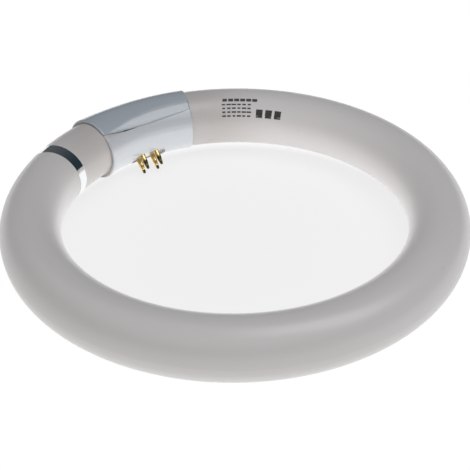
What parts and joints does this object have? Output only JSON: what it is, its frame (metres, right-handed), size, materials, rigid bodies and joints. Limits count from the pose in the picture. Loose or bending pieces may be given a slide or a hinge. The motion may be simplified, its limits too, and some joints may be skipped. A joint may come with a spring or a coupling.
{
  "type": "circular fluorescent tube",
  "caption": "Circular fluorescent lamp: a white coated glass ring with a two-part cap over its joint, contact pins pointing inwards and down, and a bright metal band round the glass.",
  "frame": {"origin": "centre of the ring, on the plane of the tube's centreline", "axes": "+Z along the ring's axis, +Y from the centre to the middle of the cap, the pins point towards -Y and -Z"},
  "size_m": [0.216, 0.2171, 0.0325],
  "materials": {
    "coated_glass": "smooth glass over an opaque white coating",
    "bright_metal": "polished",
    "cap_plastic": "smooth moulded, cool white",
    "pin_brass": "drawn brass, dark at the crimp",
    "lead_metal": "plated wire",
    "sleeve_plastic": "woven insulating sleeve",
    "cement": "dull cream basing cement",
    "print_ink": "thin grey ink printed on the glass"
  },
  "bodies": {
    "root": {"glass_tube": "coated_glass", "metal_band": "bright_metal", "cap_outer_shell": "cap_plastic", "cap_pin_shell": "cap_plastic", "cement_ring_1": "cement", "cement_ring_2": "cement", "pin_1": "pin_brass", "lead_wire_1": "lead_metal", "wire_sleeve_1": "sleeve_plastic", "pin_2": "pin_brass", "lead_wire_2": "lead_metal", "wire_sleeve_2": "sleeve_plastic", "pin_3": "pin_brass", "lead_wire_3": "lead_metal", "wire_sleeve_3": "sleeve_plastic", "pin_4": "pin_brass", "lead_wire_4": "lead_metal", "wire_sleeve_4": "sleeve_plastic"}
  },
  "joints": []
}
